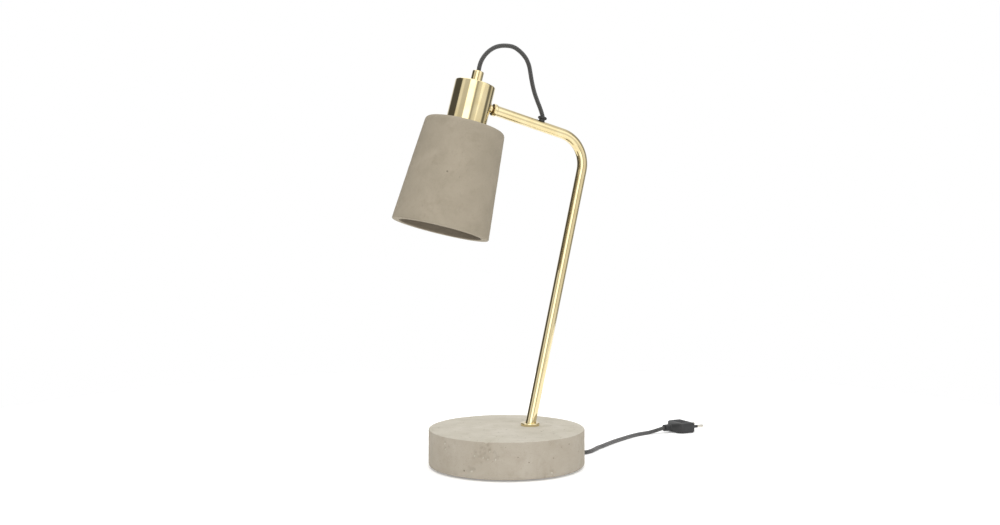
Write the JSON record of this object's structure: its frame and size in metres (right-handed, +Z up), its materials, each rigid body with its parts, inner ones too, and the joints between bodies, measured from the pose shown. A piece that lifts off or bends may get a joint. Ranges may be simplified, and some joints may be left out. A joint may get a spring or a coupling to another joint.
{
  "type": "table lamp",
  "caption": "Table lamp with a round cast-concrete foot, a bent brass tube, and a flared concrete shade that swivels under a brass cup on the end of the arm.",
  "frame": {"origin": "centre of the underside of the felt pad, on the table", "axes": "+Z up; the stem and arm lie in the XZ plane and the head reaches towards -X"},
  "size_m": [0.4727, 0.2806, 0.4847],
  "materials": {
    "cast_concrete": "matte",
    "polished_brass": "polished",
    "plain_brass": "satin",
    "zinc_steel": "satin",
    "spring_steel": "satin",
    "felt": "matte",
    "black_rubber": "matte",
    "fibre": "matte",
    "nylon": "matte",
    "textile_cord": "matte",
    "wire_insulation": "satin",
    "bakelite": "gloss",
    "porcelain": "gloss",
    "black_plastic": "satin",
    "nickel": "polished"
  },
  "bodies": {
    "root": {"base_body": "cast_concrete", "base_inserts": "plain_brass", "base_plate": "zinc_steel", "base_screws": "zinc_steel", "felt_pad": "felt", "stem_collar": "polished_brass", "stem_stud": "plain_brass", "base_washer": "zinc_steel", "spring_washer": "spring_steel", "base_nut": "plain_brass", "strain_relief": "black_rubber", "cord_clamp": "nylon", "clamp_screws": "zinc_steel", "base_cord": "textile_cord", "stem_tube": "polished_brass", "stem_cord": "textile_cord", "arm_grommet": "black_rubber", "arm_ring": "polished_brass", "friction_washer": "fibre", "pivot_screw": "zinc_steel", "wave_washer": "spring_steel", "loop_cord": "textile_cord", "mains_cord_lead": "textile_cord", "mains_cord_link": "textile_cord", "mains_cord_coil": "textile_cord", "mains_cord_tail": "textile_cord", "coil_tie": "black_rubber", "switch_lower": "black_plastic", "switch_upper": "black_plastic", "switch_screws": "zinc_steel", "switch_contacts": "plain_brass", "rocker_pin": "zinc_steel", "plug_body": "black_plastic", "plug_sleeves": "black_plastic", "plug_pins": "nickel"},
    "head": {"outer_saddle": "polished_brass", "inner_saddle": "plain_brass", "socket_cup": "polished_brass", "cord_nipple": "polished_brass", "grip_screw": "plain_brass", "threaded_tube": "plain_brass", "cup_washer": "zinc_steel", "cup_nut": "plain_brass", "socket_cord": "textile_cord", "holder_cap": "bakelite", "holder_body": "bakelite", "holder_insert": "porcelain", "screw_shell": "plain_brass", "centre_contact": "plain_brass", "terminal_screws": "zinc_steel", "socket_leads": "wire_insulation", "shade_gasket": "black_rubber", "shade": "cast_concrete", "shade_ring": "bakelite"},
    "rocker": {"switch_rocker": "black_plastic"}
  },
  "joints": [
    {"name": "head_swivel", "type": "hinge", "parent": "root", "child": "head", "pos_m": [-0.04513, 0, 0.41618], "axis": [0.9659, 0, -0.2588], "range_deg": [-80, 80], "deforming": ["loop_cord"]},
    {"name": "rocker_tilt", "type": "hinge", "parent": "root", "child": "rocker", "pos_m": [0.076, 0.1675, 0.0158], "axis": [0.454, 0.891, 0], "range_deg": [0, 16]}
  ]
}
